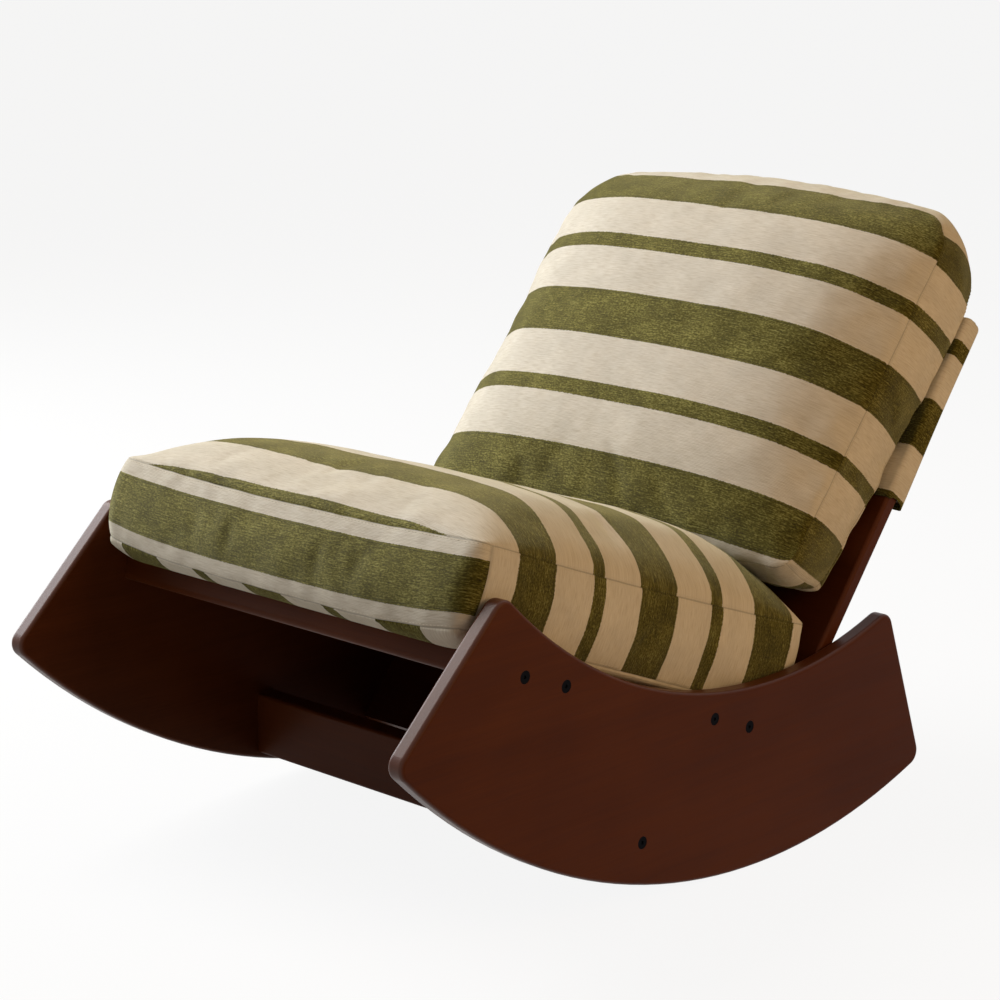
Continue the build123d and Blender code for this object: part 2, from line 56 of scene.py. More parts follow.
# Fabric
STRIPE_REPEAT = 0.220
WIDE_STRIPE = 0.067
THIN_STRIPE = 0.022
STRIPE_BLUR = 0.0003  # half the width of the change from one colour to the other
STRIPE_WAVER = 0.0030  # how far a stripe's edge wanders
LINE_INSET = 0.0028  # of the dark line inside a wide stripe's edge
LINE_HALF = 0.0007
NAP_LEAN = 0.25  # sine of the green pile's lean, back along the stripes
OLIVE = (
    (0.375, (0.022, 0.0155, 0.0008)),
    (0.50, (0.082, 0.068, 0.0072)),
    (0.64, (0.270, 0.245, 0.072)),
)
CREAM = (
    (0.28, (0.545, 0.480, 0.385)),
    (0.50, (0.650, 0.595, 0.505)),
    (0.72, (0.720, 0.670, 0.590)),
)
DARK_LINE = (0.022, 0.018, 0.003, 1)

# Wood
WALNUT = (
    (0.38, (0.062, 0.0140, 0.0030)),
    (0.50, (0.075, 0.0176, 0.0038)),
    (0.62, (0.091, 0.0225, 0.0050)),
)
BEECH = ((0.30, (0.40, 0.26, 0.14)), (0.70, (0.58, 0.42, 0.26)))
PORES = (0.010, 0.004, 0.002, 1)
LENGTHWAYS = (0, 0, radians(90))
CROSSWAYS = (0, 0, 0)

# Cushion meshes
CLOTH_CELL = 0.010
PANEL_ROWS = (0.0004, 0.0016, 0.0036, 0.0064)  # first rows beside a seam, where the panels are steep
STRIP_ROWS = (0.0025, 0.006)
SIDE_DRAW = 0.003  # how far the sides pull in between the corners
BOW_REACH = 0.13  # how far along the cushion an end's bow runs
DROOP_SHARE = 0.3  # of the length, from the start
LEAST_LIFT = 0.001
HANG_START = 0.006  # the base hangs free from here, measured from its start
HANG_LENGTH = 0.052
HANG_LIMIT = 0.055  # no part of the base further on goes below its flat
HANG_MARGIN = 0.04  # at the sides
INSET_REACH = 0.12
TAPER_START = 0.78  # share of the length
STRIP_EASE = 1.04  # cloth of the side band to the height between its seams
STRIP_FULLNESS = 2.4
LEAN_REACH = 0.08
SLACK_FADE = 0.4  # share of the slack that is lost at the sides
BASE_STRIPE = 0.010  # the seat's base stripes run front to back, this far off the middle
BASE_CUT, STRIP_CUT, SIDE_CUT = 3, 5, 7  # places on the roll of cloth that the panels are cut from
CLOTH_JUMP = 0.05  # points of one seam that lie further apart on the roll are on different cuts

# Cushion simulation and relief
SIM_FRAMES = 20
SIM_CAP = 0.005  # the furthest that the simulation moves a point
SIM_SEAM_REACH = 0.05  # the swell grows up to this far from a seam
DENTS = ((0.0022, 0.10, 0), (0.0010, 0.035, 9))  # depth, size and seed
SEAM_DENTS = (0.0012, 0.013, 5)
SEAM_DENT_REACH = 0.014
PUCKER_SIZE = 0.024
PUCKER_SEED = 7
PUCKER_PLACE = 0.012  # distance from the seam
PUCKER_REACH = 0.014
SEAM_PULL = 0.0007
JOIN_PULL = 0.6 * SEAM_PULL
# share of the painted seam shade given to the joins of the band's end pieces
JOIN_SHADE = 0.8
SIDE_LIMIT = 0.307  # just inside the side panels

# Stitches
STITCH_LENGTH = 0.0036
STITCH_GAP = 0.0016
STITCH_WIDTH = 0.0007
STITCH_HEIGHT = 0.7 * STITCH_WIDTH
# Shares of half the length, half the width and the height
STITCH_RIM = ((-1, 0, 0), (-0.6, 1, 0), (0.6, 1, 0), (1, 0, 0), (0.6, -1, 0), (-0.6, -1, 0))
STITCH_RIDGE = ((-0.5, 0, 1), (0.5, 0, 1))
STITCH_FACES = ((0, 5, 6), (0, 6, 1), (1, 6, 7, 2), (2, 7, 3), (3, 7, 4), (4, 7, 6, 5))

# Sleeve: a loose pocket over the top of the back panel, open at its hem
SLEEVE_HALF = 0.3085
SLEEVE_TOP = 0.434
SLEEVE_HEM = 0.171
SLEEVE_STRIPE = 0.279
SLEEVE_FRONT = -0.0012
SLEEVE_REAR = -0.0335
SLEEVE_ROUND = 0.006  # rounding of its top edges
SLEEVE_ROLL = 0.007  # rounding of its side edges
SLEEVE_ARCH = 0.005  # rise of the hem at the two sides
SLEEVE_FLARE = 0.004  # how far the hem stands off at the rear
SLEEVE_FOLDS = (0.001, 0.002)  # depth of the rear's folds, and what is added towards the hem
SLEEVE_WAVER = 0.0006
SLEEVE_CLOTH = 0.0014
SLEEVE_COLUMNS = 59
SLEEVE_ROWS = 22
ROLL_ANGLES = (18, 36, 54, 72)
ROUND_ANGLES = (22.5, 45, 67.5, 90)

# Stage
WHITE = (1, 1, 1, 1)
FLOOR_SEEN = (0.80, 0.80, 0.80, 1)
FLOOR_BOUNCE = (0.45, 0.45, 0.45, 1)  # for the light that it throws back
FLOOR_GLOW = 0.9
FLOOR_REACH = 40
WORLD_COLOUR = (1.0, 0.80, 0.56, 1)
WORLD_STRENGTH = 0.16


# Node trees
class Shader:
    """The node tree of a material or world, whose nodes are added one call each."""

    def __init__(self, owner, kind="Material"):
        owner.use_nodes = True
        self.owner = owner
        self.tree = owner.node_tree
        self.tree.nodes.clear()
        self.output = self.tree.nodes.new("ShaderNodeOutput" + kind)

    def add(self, kind, sockets, out=0, **settings):
        """A node with its sockets set or linked. Returns one of its outputs."""
        node = self.tree.nodes.new("ShaderNode" + kind)
        for key, value in settings.items():
            setattr(node, key, value)
        for key, value in sockets.items():
            if isinstance(value, bpy.types.NodeSocket):
                self.tree.links.new(value, node.inputs[key])
            else:
                node.inputs[key].default_value = value
        return node.outputs[out]

    def math(self, operation, first, second=0.0):
        """Two values put together."""
        return self.add("Math", {0: first, 1: second}, operation=operation)

    def weighed(self, *parts):
        """The sum of values, each times its weight."""
        total = self.math("MULTIPLY", *parts[0])
        for part in parts[1:]:
            total = self.math("ADD", total, self.math("MULTIPLY", *part))
        return total

    def ramp(self, factor, stops):
        """A colour ramp through (place, colour) stops."""
        out = self.add("ValToRGB", {"Fac": factor})
        elements = out.node.color_ramp.elements
        while len(elements) < len(stops):
            elements.new(0.5)
        for element, (place, colour) in zip(elements, stops):
            element.position = place
            element.color = (*colour, 1)
        return out

    def step(self, value, low, high, start=0.0, end=1.0):
        """Goes from start to end while the value goes from low to high."""
        sockets = {"Value": value, "From Min": low, "From Max": high, "To Min": start, "To Max": end}
        return self.add("MapRange", sockets)

    def mix(self, factor, first, second, blend_type="MIX"):
        """Two colours mixed."""
        sockets = {"Factor": factor, 6: first, 7: second}
        return self.add("Mix", sockets, out=2, data_type="RGBA", blend_type=blend_type)

    def noise(self, vector, stretch, detail=3.0, roughness=0.55):
        """Noise with the stretch's number of cells in a metre."""
        scaled = self.add("VectorMath", {0: vector, 1: stretch}, operation="MULTIPLY")
        sockets = {"Vector": scaled, "Scale": 1.0, "Detail": detail, "Roughness": roughness}
        return self.add("TexNoise", sockets)

    def seen(self):
        """One for rays that show the stage: straight to the camera, in a reflection or through glass."""
        camera, glossy, through = [
            self.add("LightPath", {}, out=kind)
            for kind in ("Is Camera Ray", "Is Glossy Ray", "Is Transmission Ray")
        ]
        return self.math("MAXIMUM", self.math("MAXIMUM", camera, glossy), through)

    def end(self, surface):
        """Links the last shader. Returns the tree's material or world."""
        self.tree.links.new(surface, self.output.inputs["Surface"])
        return self.owner


def make_fabric():
    """Olive and cream chenille: stripes along the cloth's own coordinates, streaked yarn and a soft pile."""
    shader = Shader(bpy.data.materials.new("striped_chenille"))
    cloth = shader.add("UVMap", {}, uv_map="cloth")
    along = shader.add("SeparateXYZ", {0: cloth}, out=1)
    yarn = shader.noise(cloth, (60, 650, 1), detail=4.0, roughness=0.6)
    pile = shader.noise(cloth, (280, 540, 1), detail=4.0, roughness=0.7)
    cloud = shader.noise(cloth, (20, 26, 1), detail=3.0)

    # Stripes
    edge = shader.math("SUBTRACT", shader.noise(cloth, (330, 60, 1)), 0.5)
    waver = shader.math("MULTIPLY", edge, STRIPE_WAVER)
    place = shader.math("PINGPONG", shader.math("ADD", along, waver), STRIPE_REPEAT / 2)
    wide_edge = WIDE_STRIPE / 2
    thin_edge = (STRIPE_REPEAT - THIN_STRIPE) / 2
    wide = shader.step(place, wide_edge - STRIPE_BLUR, wide_edge + STRIPE_BLUR, 1.0, 0.0)
    thin = shader.step(place, thin_edge - STRIPE_BLUR, thin_edge + STRIPE_BLUR)
    green = shader.math("MAXIMUM", wide, thin)
    line = shader.math("COMPARE", place, wide_edge - LINE_INSET)
    line.node.inputs[2].default_value = LINE_HALF

    # Colours, with painted shade darkening them along the seams
    patches = shader.math("SUBTRACT", cloud, 0.5)
    tone = shader.weighed((yarn, 0.40), (pile, 0.60), (patches, 0.16))
    olive = shader.ramp(tone, OLIVE)
    olive = shader.mix(shader.math("MULTIPLY", line, 0.5), olive, DARK_LINE)
    colour = shader.mix(green, shader.ramp(yarn, CREAM), olive)
    # Painted shade: the colour darkens where the cover's seam attribute is high; the cloud adds random
    # patches of tone
    seam = shader.add("Attribute", {}, out="Fac", attribute_name="seam")
    seam_shade = shader.step(seam, 0.4, 1.0, 1.0, 0.58)
    shade = shader.math("MULTIPLY", shader.step(cloud, 0.3, 0.7, 0.93, 1.05), seam_shade)
    grey = shader.add("CombineColor", {0: shade, 1: shade, 2: shade})
    colour = shader.mix(1.0, colour, grey, "MULTIPLY")

    # Pile, which leans where it is green
    wave = {"Vector": cloth, "Scale": 190.0, "Distortion": 1.0, "Detail": 2.0}
    rib = shader.add("TexWave", wave, out=1, bands_direction="Y")
    height = shader.weighed((pile, 0.7), (rib, 0.2), (green, 0.4))
    lean = ((1 - NAP_LEAN) / 2, 0.5, (1 + (1 - NAP_LEAN**2) ** 0.5) / 2, 1)
    nap = shader.add("NormalMap", {"Strength": green, "Color": lean}, uv_map="cloth")
    bump = shader.add("Bump", {"Strength": 0.5, "Distance": 0.0014, "Height": height, "Normal": nap})
    return shader.end(shader.add("BsdfPrincipled", {
        "Base Color": colour, "Roughness": 0.93, "Specular IOR Level": 0.12, "Sheen Weight": 0.3,
        "Sheen Roughness": 0.43, "Sheen Tint": (1.0, 1.0, 0.60, 1), "Normal": bump,
    }))


def make_wood(name, tilt, stops, gloss, edge_coat):
    """Stained wood, its grain along local x after a turn by the tilt: satin faces, glossier rolled edges."""
    shader = Shader(bpy.data.materials.new(name))
    place = shader.add("TexCoord", {}, out=3)
    grain = shader.add("Mapping", {"Vector": place, "Rotation": tilt})
    bands = shader.noise(grain, (1.3, 30.0, 30.0), detail=5.0, roughness=0.62)
    fibre = shader.noise(grain, (16.0, 520.0, 520.0), detail=3.0)
    pores = shader.step(shader.noise(grain, (34.0, 900.0, 900.0), detail=2.0), 0.66, 0.76)
    cloud = shader.noise(place, (4.5, 4.5, 4.5), detail=2.0)
    colour = shader.ramp(shader.weighed((bands, 0.35), (fibre, 0.20), (cloud, 0.45)), stops)
    colour = shader.mix(shader.math("MULTIPLY", pores, 0.30), colour, PORES)
    rough = shader.step(fibre, 0.3, 0.7, gloss - 0.04, gloss + 0.06)
    bump = shader.add("Bump", {"Strength": 0.10, "Distance": 0.0004, "Height": fibre})
    normal = shader.add("TexCoord", {}, out=1)
    facing = shader.math("ABSOLUTE", shader.add("SeparateXYZ", {0: normal}, out=0))
    coat = shader.step(facing, 0.55, 0.97, edge_coat, 0.0)
    return shader.end(shader.add("BsdfPrincipled", {
        "Base Color": colour, "Roughness": rough, "Normal": bump, "Coat Weight": coat, "Coat Roughness": 0.30,
        "Specular IOR Level": 0.05,
    }))


def make_plain(name, colour, rough, metallic, specular=0.5):
    """Metal or foam with a faint mottle."""
    shader = Shader(bpy.data.materials.new(name))
    place = shader.add("TexCoord", {}, out=3)
    mottle = shader.noise(place, (350, 350, 350), detail=3.0)
    dark = tuple(0.6 * c for c in colour)
    tone = shader.ramp(mottle, ((0.3, dark), (0.7, colour)))
    roughness = shader.step(mottle, 0.3, 0.7, rough - 0.08, rough + 0.08)
    return shader.end(shader.add("BsdfPrincipled", {
        "Base Color": tone, "Roughness": roughness, "Metallic": metallic, "Specular IOR Level": specular,
    }))


# Cushion forms; pairs are for the start and the far end
SEAT_FORM = {
    "half": 0.2990,  # half the width
    "ends": (0.004, 0.597),
    "corners": (0.020, 0.016),  # radii in the plan
    "far_left_corner": 0.016,
    "bows": (0.0, 0.0),  # how far the ends curve back at their corners
    "crowns": (0.066, 0.091),  # rise of the top over its seam
    "shoulder": 5.0,  # power of the crown across: a higher one is flatter in the middle
    "fullness": 4.6,  # the same along
    "steepness": 0.68,  # a lower one is steeper beside the seam
    "slack": (0.75, 0.75),  # share of the crown's extra length that the stripes follow
    "seam_heights": (0.112, 0.110, 0.118),  # of the upper seam: start, middle and end
    "tilt": 0.0,  # drop of that seam at the right, rise at the left
    "droop": 0.008,  # its drop in the middle of the start
    "side_lifts": (0.018, 0.008),  # height of the lower seam
    "end_lifts": (0.003, 0.010),
    "side_insets": (0.003, 0.002),  # how far in the lower seam lies
    "end_insets": (0.0, 0.0),
    "base_taper": 0.0,  # share that the base narrows by at the far end
    "rim": 0.030,  # width of the base's rounded edge
    "sag": 0.006,  # how far the base hangs at its start
    "side_bulge": 0.006,
    "end_bulges": (0.010, 0.008),
    "lean": 0.10,  # how far the far end leans back with its height
    "stripe_place": 0.316,  # a wide stripe's middle on the top
    "side_stripe": 0.319,  # on the side band
    "strip_stripe": 0.0525,  # on the band's end pieces, up from the lower seam
    "strip_reach": (0.013, 0.0),  # how far the end pieces run round the corners
    "base_across": True,  # whether the base's stripes run front to back
    "pucker": 0.0020,  # depth of the gathers beside the seams
}
BACK_FORM = {
    "half": 0.3030,
    "ends": (0.004, 0.538),
    "corners": (0.030, 0.055),
    "far_left_corner": 0.085,
    "bows": (0.0, 0.026),
    "crowns": (0.083, 0.083),
    "shoulder": 3.0,
    "fullness": 3.0,
    "steepness": 0.65,
    "slack": (0.55, 1.35),
    "seam_heights": (0.120, 0.107, 0.108),
    "tilt": 0.006,
    "droop": 0.0,
    "side_lifts": (0.0225, -0.010),
    "end_lifts": (0.034, 0.012),
    "side_insets": (0.015, -0.0065),
    "end_insets": (0.012, 0.004),
    "base_taper": 0.045,
    "rim": 0.040,
    "sag": 0.0,
    "side_bulge": 0.006,
    "end_bulges": (0.008, 0.018),
    "lean": 0.0,
    "stripe_place": 0.267,
    "side_stripe": 0.268,
    "strip_stripe": 0.008,
    "strip_reach": (0.0, 0.0),
    "base_across": False,
    "pucker": 0.0045,
}


class Cushion:
    """A boxed cushion in its own frame: x across, y along from its start, z up from its base."""

    def __init__(self, name, sign, base, form):
        self.name = name
        self.form = form
        axis = Vector(next(j["axis"] for j in frame["joints"] if j["name"] == name + "_slide"))
        along = sign * axis
        up = Vector((1, 0, 0)).cross(along)
        low = lowest(name + "_cover", along)
        floor = lowest(base, up)
        self.matrix = Matrix((
            (1, 0, 0, 0),
            (0, along.y, up.y, along.y * low + up.y * floor),
            (0, along.z, up.z, along.z * low + up.z * floor),
            (0, 0, 0, 1),
        ))


def lowest(node, axis):
    """Lowest place of a node along an axis."""
    return min(v.co.dot(axis) for v in frame["nodes"][node].data.vertices)


def smooth_step(value):
    """Eases from 0 to 1."""
    value = np.clip(value, 0, 1)
    return value * value * (3 - 2 * value)


def blend(pair, share):
    """Goes evenly from the first to the second of a pair."""
    return pair[0] + (pair[1] - pair[0]) * share


def cloth_piece(name, points, faces, coordinates, material, smooth):
    """A piece with the cloth's own coordinates at the corners of its faces."""
    mesh = bpy.data.meshes.new(name)
    mesh.from_pydata(points, [], faces)
    layer = mesh.uv_layers.new(name="cloth")
    layer.data.foreach_set("uv", np.array(coordinates, np.float32).ravel())
    mesh.polygons.foreach_set("use_smooth", np.full(len(faces), smooth))
    mesh.materials.append(material)
    piece = bpy.data.objects.new(name, mesh)
    scene.collection.objects.link(piece)
    return piece


def seam_spaced(length, rows, *seams):
    """Places from zero to a length: close rows beside its ends, even cells between, a row at each seam."""
    inner = length - 2 * rows[-1]
    cells = round(inner / CLOTH_CELL)
    middle = [rows[-1] + inner * k / cells for k in range(cells + 1)]
    places = [0.0, *rows[:-1], *middle, *[length - r for r in rows[-2::-1]], length]
    for seam in seams:
        if 0 < seam < length:
            nearest = min(range(len(places)), key=lambda k: abs(places[k] - seam))
            places[nearest] = seam
    return np.array(places)


def plan(form, x, y):
    """The flat plan: square corners are rounded, the sides drawn in and the far end bowed."""
    x, y = x.copy(), y.copy()
    start, end = form["ends"]
    half = form["half"]
    middle = 1 - (2 * (y - start) / (end - start) - 1) ** 2
    x -= SIDE_DRAW * middle * x / half
    far_corner = np.where(x < 0, form["far_left_corner"], form["corners"][1])
    for side, edge, radius in ((1, start, form["corners"][0]), (-1, end, far_corner)):
        p = np.maximum(0, abs(x) - half + radius)
        q = np.maximum(0, radius - side * (y - edge))
        x -= np.sign(x) * (p - p * np.sqrt(1 - q**2 / (2 * radius**2)))
        y += side * (q - q * np.sqrt(1 - p**2 / (2 * radius**2)))
    for side, edge, bow in ((1, start, form["bows"][0]), (-1, end, form["bows"][1])):
        y += side * bow * (x / half) ** 2 * smooth_step(1 - side * (y - edge) / BOW_REACH)
    return x, y


def seam_height(form, x, share):
    """Height of the upper seam at a share of the length."""
    low, middle, high = form["seam_heights"]
    curve = low + (high - low) * share + (2 * middle - low - high) * 2 * share * (1 - share)
    droop = form["droop"] * (1 - (x / form["half"]) ** 2) * smooth_step(1 - share / DROOP_SHARE)
    return curve - droop - form["tilt"] * x / form["half"]


def base_shape(form, x, y, plan_x, plan_y):
    """The lower panel: flat in the middle, rounded up to a seam that lies a little further in."""
    start, end = form["ends"]
    half = form["half"]
    share = (y - start) / (end - start)
    near_side = abs(x / half) ** 4
    side_lift = np.maximum(LEAST_LIFT, blend(form["side_lifts"], share))
    lift = near_side * side_lift + (1 - near_side) * blend(form["end_lifts"], share)
    distance = np.minimum(half - abs(x), np.minimum(y - start, end - y))
    rise = np.maximum(0, 1 - distance / form["rim"])
    z = lift * (1 - np.sqrt(1 - rise**2))
    hang = np.clip((y - start - HANG_START) / HANG_LENGTH, 0, 1)
    z -= form["sag"] * np.sin(np.pi * hang) * smooth_step((half - abs(x)) / HANG_MARGIN)
    base_x = plan_x * (1 - np.maximum(0, blend(form["side_insets"], share)) / half)
    base_x = base_x * (1 - form["base_taper"] * smooth_step((share - TAPER_START) / (1 - TAPER_START)))
    base_y = plan_y + form["end_insets"][0] * smooth_step(1 - (y - start) / INSET_REACH)
    base_y -= form["end_insets"][1] * smooth_step(1 - (end - y) / INSET_REACH)
    return np.stack([base_x, base_y, z], axis=2), distance


def build_cushion(cushion, material):
    """The sewn cover as one closed mesh of four-sided cells, with the cloth's own coordinates."""
    form = cushion.form
    start, end = form["ends"]
    half = form["half"]
    length = end - start
    rows = seam_spaced(length, PANEL_ROWS, form["strip_reach"][0], length - form["strip_reach"][1])
    columns = seam_spaced(2 * half, PANEL_ROWS) - half
    grid_x, grid_y = np.meshgrid(columns, start + rows)
    count_y, count_x = grid_x.shape

    # Top and base
    share = (grid_y - start) / length
    plan_x, plan_y = plan(form, grid_x, grid_y)
    rise = (1 - abs(grid_x / half) ** form["shoulder"]) * (1 - abs(2 * share - 1) ** form["fullness"])
    crown = blend(form["crowns"], share) * rise ** form["steepness"]
    top = np.stack([plan_x, plan_y, seam_height(form, plan_x, share) + crown], axis=2)
    bottom, rim = base_shape(form, grid_x, grid_y, plan_x, plan_y)

    # Side band between their edges
    ring = [(0, j) for j in range(count_x)]
    ring += [(i, count_x - 1) for i in range(1, count_y)]
    ring += [(count_y - 1, j) for j in range(count_x - 2, -1, -1)]
    ring += [(i, 0) for i in range(count_y - 2, 0, -1)]
    ring_rows, ring_columns = np.array(ring).T
    upper, lower = top[ring_rows, ring_columns], bottom[ring_rows, ring_columns]
    tangent = np.roll(upper, -1, 0) - np.roll(upper, 1, 0)
    outward = np.stack([tangent[:, 1], -tangent[:, 0], 0 * tangent[:, 0]], axis=1)
    outward /= np.linalg.norm(outward, axis=1)[:, None]
    end_bulge = np.where(outward[:, 1] < 0, form["end_bulges"][0], form["end_bulges"][1])
    bulge = form["side_bulge"] * outward[:, 0] ** 2 + end_bulge * outward[:, 1] ** 2
    strip = np.mean(upper[:, 2] - lower[:, 2]) * STRIP_EASE
    levels = seam_spaced(strip, STRIP_ROWS) / strip
    bands = []
    for level in levels[1:-1]:
        swell = 1 - abs(2 * level - 1) ** STRIP_FULLNESS
        bands.append(lower * (1 - level) + upper * level + outward * (bulge * swell)[:, None])
    points = np.vstack([top.reshape(-1, 3), bottom.reshape(-1, 3), *bands])
    lean = form["lean"] * smooth_step((points[:, 1] - end + LEAN_REACH) / LEAN_REACH)
    points[:, 1] += lean * points[:, 2]

    # Vertex numbers of the panels
    top_ids = np.arange(count_y * count_x).reshape(count_y, count_x)
    bottom_ids = top_ids + count_y * count_x
    band_ids = 2 * count_y * count_x + np.arange(len(bands) * len(ring)).reshape(len(bands), len(ring))
    wall_ids = np.vstack([bottom_ids[ring_rows, ring_columns], band_ids, top_ids[ring_rows, ring_columns]])

    # The cloth's own coordinates: along the stripes, then across them
    steps = np.linalg.norm(np.diff(top, axis=0), axis=2)
    arc = np.vstack([np.zeros(count_x), np.cumsum(steps, axis=0)])
    straight = grid_y - form["stripe_place"]
    middle = np.argmin(abs(straight[:, count_x // 2]))
    arc -= arc[middle] - straight[middle]
    slack = blend(form["slack"], share) * (1 - SLACK_FADE * (grid_x / half) ** 2)
    across = straight + slack * (arc - straight)
    faces, coordinates = [], []

    def add_face(corners, cloth):
        faces.append([int(c) for c in corners])
        coordinates.extend(cloth)

    def base_cloth(cell):
        if form["base_across"]:
            return plan_y[cell] + BASE_CUT, plan_x[cell] + BASE_STRIPE
        return plan_x[cell] + BASE_CUT, straight[cell]

    for i in range(count_y - 1):
        for j in range(count_x - 1):
            cells = [(i, j), (i, j + 1), (i + 1, j + 1), (i + 1, j)]
            add_face([top_ids[c] for c in cells], [(grid_x[c], across[c]) for c in cells])
            cells.reverse()
            add_face([bottom_ids[c] for c in cells], [base_cloth(c) for c in cells])
    around = np.concatenate([[0], np.cumsum(np.linalg.norm(np.diff(upper, axis=0), axis=1))])
    ring_y = grid_y[ring_rows, ring_columns]
    side_across = ring_y - form["side_stripe"]
    tolerance = 1e-6
    on_strip = [
        ring_y <= start + form["strip_reach"][0] + tolerance,
        ring_y >= end - form["strip_reach"][1] - tolerance,
    ]
    for m in range(len(ring)):
        n = (m + 1) % len(ring)
        in_strip = any(on[m] and on[n] for on in on_strip)
        run = {m: around[m], n: around[m] + np.linalg.norm(upper[n] - upper[m])}
        for k in range(len(levels) - 1):
            cells = [(k, m), (k, n), (k + 1, n), (k + 1, m)]
            if in_strip:
                cloth = [(run[c[1]] + STRIP_CUT, levels[c[0]] * strip - form["strip_stripe"]) for c in cells]
            else:
                cloth = [(levels[c[0]] * strip + SIDE_CUT, side_across[c[1]]) for c in cells]
            add_face([wall_ids[c] for c in cells], cloth)
    cushion.piece = cloth_piece(cushion.name, points.tolist(), faces, coordinates, material, True)

    # What the later steps need
    joins = []
    for m in range(len(ring)):
        n = (m + 1) % len(ring)
        joins += [m for on in on_strip if on[m] and not (on[m - 1] and on[n])]
    inner = len(PANEL_ROWS)
    cushion.points = points
    cushion.seams = [wall_ids[0], wall_ids[-1]]
    cushion.joins = [wall_ids[:, m] for m in joins]
    cushion.base = bottom_ids[inner:-inner, inner:-inner].ravel()
    cushion.seam_distance = np.zeros(len(points))
    cushion.seam_distance[top_ids.ravel()] = rim.ravel()
    cushion.seam_distance[bottom_ids.ravel()] = rim.ravel()
    to_seam = np.minimum(levels, 1 - levels)[1:-1] * strip
    cushion.seam_distance[band_ids.ravel()] = np.repeat(to_seam, len(ring))
    cushion.cloth = np.zeros((len(points), 2))
    cushion.cloth[np.array(faces).ravel()] = coordinates
    cushion.stitch_rows = [top_ids[1:-1, 1:-1], wall_ids[-2], wall_ids[1]]


def inflate(cushions):
    """Swells the covers between their seams, which stay where they are sewn."""
    for cushion in cushions:
        group = cushion.piece.vertex_groups.new(name="held")
        group.add([int(v) for v in np.concatenate([*cushion.seams, cushion.base])], 1.0, "REPLACE")
        cloth = cushion.piece.modifiers.new("inflate", "CLOTH")
        settings = cloth.settings
        settings.quality = 6
        settings.mass = 0.3
        settings.tension_stiffness = 25
        settings.compression_stiffness = 25
        settings.shear_stiffness = 8
        settings.bending_stiffness = 0.5
        settings.use_pressure = True
        settings.uniform_pressure_force = 4
        settings.vertex_group_mass = group.name
        settings.shrink_min = -0.006
        settings.effector_weights.gravity = 0
        cloth.collision_settings.use_collision = False
        cloth.point_cache.frame_start = 1
        cloth.point_cache.frame_end = SIM_FRAMES
    for number in range(1, SIM_FRAMES + 1):
        scene.frame_set(number)
    depsgraph = bpy.context.evaluated_depsgraph_get()
    for cushion in cushions:
        swollen = cushion.piece.evaluated_get(depsgraph).data
        moved = np.zeros(len(swollen.vertices) * 3)
        swollen.vertices.foreach_get("co", moved)
        shift = moved.reshape(-1, 3) - cushion.points
        length = np.linalg.norm(shift, axis=1)[:, None]
        share = smooth_step(cushion.seam_distance / SIM_SEAM_REACH)[:, None]
        cushion.points = cushion.points + share * shift * np.minimum(1, SIM_CAP / np.maximum(length, 1e-9))
        cushion.piece.modifiers.clear()
        cushion.piece.vertex_groups.clear()
    scene.frame_set(1)


def ripple(points, size, seed):
    """Smooth noise at the points, with bumps of about the size."""
    return np.array([noise.noise(Vector(p) / size + Vector((seed, 0, 0))) for p in points])


def settle(cushion, seed):
    """Dents the cover, puckers and pulls in its seams, and keeps it off what lies beside and below it."""
    mesh = cushion.piece.data
    points = cushion.points
    mesh.vertices.foreach_set("co", points.ravel())
    mesh.update()
    normals = np.zeros(len(points) * 3)
    mesh.vertices.foreach_get("normal", normals)
    normals = normals.reshape(-1, 3)
    relief = sum(depth * ripple(points, size, seed + more) for depth, size, more in DENTS)
    depth, size, more = SEAM_DENTS
    beside = np.exp(-cushion.seam_distance / SEAM_DENT_REACH)
    relief += depth * beside * ripple(points, size, seed + more)
    gather = np.exp(-((cushion.seam_distance - PUCKER_PLACE) / PUCKER_REACH) ** 2)
    relief += cushion.form["pucker"] * gather * ripple(points, PUCKER_SIZE, seed + PUCKER_SEED)
    seam = np.unique(np.concatenate(cushion.seams))
    join = np.unique(np.concatenate(cushion.joins))
    relief[seam] -= SEAM_PULL
    relief[join] -= JOIN_PULL
    relief[cushion.base] = 0
    points = points + normals * relief[:, None]
    low = -cushion.form["sag"] * (points[:, 1] < cushion.form["ends"][0] + HANG_LIMIT)
    points[:, 2] = np.maximum(points[:, 2], low)
    points[:, 0] = np.clip(points[:, 0], -SIDE_LIMIT, SIDE_LIMIT)
    # Painted seam shade, kept on the cover for the fabric's colour to darken there
    seam_shading = np.zeros(len(points), np.float32)
    seam_shading[seam] = 1
    seam_shading[join] = JOIN_SHADE
    mesh.attributes.new("seam", "FLOAT", "POINT").data.foreach_set("value", seam_shading)
    mesh.vertices.foreach_set("co", points.ravel())
    mesh.transform(cushion.matrix)
    mesh.update()


def finish_cushion(cushion, *nodes):
    """Smooths the cover and lets it stand for its solids."""
    refine = cushion.piece.modifiers.new("smooth", "SUBSURF")
    refine.levels = 1
    refine.render_levels = 1
    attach(cushion.piece, cushion.name)
    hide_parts(*nodes)


